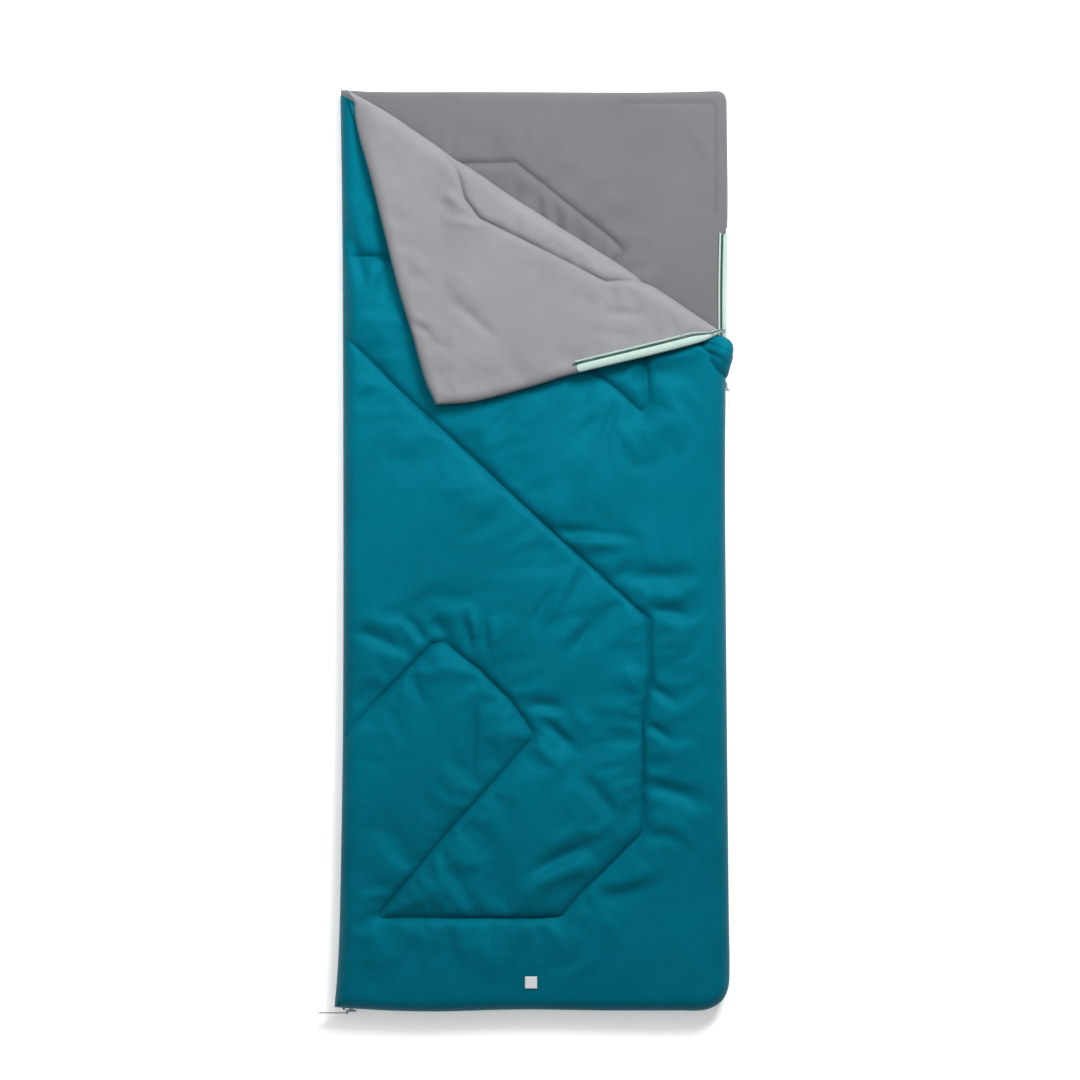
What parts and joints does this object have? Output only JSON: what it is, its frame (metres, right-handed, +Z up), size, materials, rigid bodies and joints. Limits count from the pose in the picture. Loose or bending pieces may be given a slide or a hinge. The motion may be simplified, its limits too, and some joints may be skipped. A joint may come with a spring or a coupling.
{
  "type": "sleeping bag",
  "caption": "Rectangular quilted sleeping bag lying flat, head corner folded back to show the lining, zip down one side and along the foot.",
  "frame": {"origin": "centre of the bag's flat underside, on the floor", "axes": "+X towards the zipped long side, +Y towards the head opening, +Z up"},
  "size_m": [0.8535, 1.912, 0.0845],
  "materials": {
    "shell_fabric": "matt teal polyester taffeta",
    "lining_fabric": "soft grey brushed polyester",
    "hollow_fibre": "white fibre wadding",
    "zip_tape": "mint woven tape",
    "webbing": "mint twill webbing",
    "zip_coil": "dark green nylon coil",
    "hem_binding": "teal binding tape",
    "shell_thread": "teal thread",
    "lining_thread": "grey thread",
    "patch_fabric": "white woven patch, blank",
    "slider_metal": "satin zinc alloy"
  },
  "bodies": {
    "bag": {"bottom_insulation": "hollow_fibre", "bottom_lining": "lining_fabric", "bottom_outer_shell": "shell_fabric", "head_hem_bottom": "hem_binding", "left_side_seam": "shell_fabric", "quilt_stitching_bottom": "lining_thread", "quilt_stitching_top": "shell_thread", "sewn_patch": "patch_fabric", "top_insulation": "hollow_fibre", "top_lining": "lining_fabric", "top_outer_shell": "shell_fabric", "zip_coil_lower_foot": "zip_coil", "zip_coil_lower_side": "zip_coil", "zip_coil_upper_foot": "zip_coil", "zip_coil_upper_side": "zip_coil", "zip_end_stop": "zip_coil", "zip_tape_lower_foot": "zip_tape", "zip_tape_lower_side": "zip_tape", "zip_tape_upper_foot": "zip_tape", "zip_tape_upper_side": "zip_tape", "zip_top_stop_bottom": "zip_coil", "zip_webbing_bottom": "webbing"},
    "flap": {"flap_outer_shell": "shell_fabric", "flap_insulation": "hollow_fibre", "flap_lining": "lining_fabric", "zip_tape_flap": "zip_tape", "zip_webbing_flap": "webbing", "zip_coil_flap": "zip_coil", "zip_top_stop_flap": "zip_coil", "head_hem_flap": "hem_binding", "quilt_stitching_flap": "lining_thread"},
    "side_slider": {"side_slider": "slider_metal"},
    "side_pull": {"side_pull_tab": "slider_metal"},
    "foot_slider": {"foot_slider": "slider_metal"},
    "foot_pull": {"foot_pull_tab": "slider_metal"}
  },
  "joints": [
    {"name": "flap_fold", "type": "hinge", "parent": "bag", "child": "flap", "pos_m": [-0.01175, 0.6775, 0.0585], "axis": [-0.8247, 0.5656, 0], "range_deg": [0, 180]},
    {"name": "side_slide", "type": "slide", "parent": "bag", "child": "side_slider", "axis": [0, 1, 0], "range_m": [-1.225, 0.3]},
    {"name": "side_pull", "type": "hinge", "parent": "side_slider", "child": "side_pull", "pos_m": [0.406, 0.332, 0.029], "axis": [0, 0, 1], "range_deg": [0, 175]},
    {"name": "foot_slide", "type": "slide", "parent": "bag", "child": "foot_slider", "axis": [1, 0, 0], "range_m": [0, 0.715]},
    {"name": "foot_pull", "type": "hinge", "parent": "foot_slider", "child": "foot_pull", "pos_m": [-0.385, -0.959, 0.029], "axis": [0, 0, 1], "range_deg": [0, 175]}
  ]
}
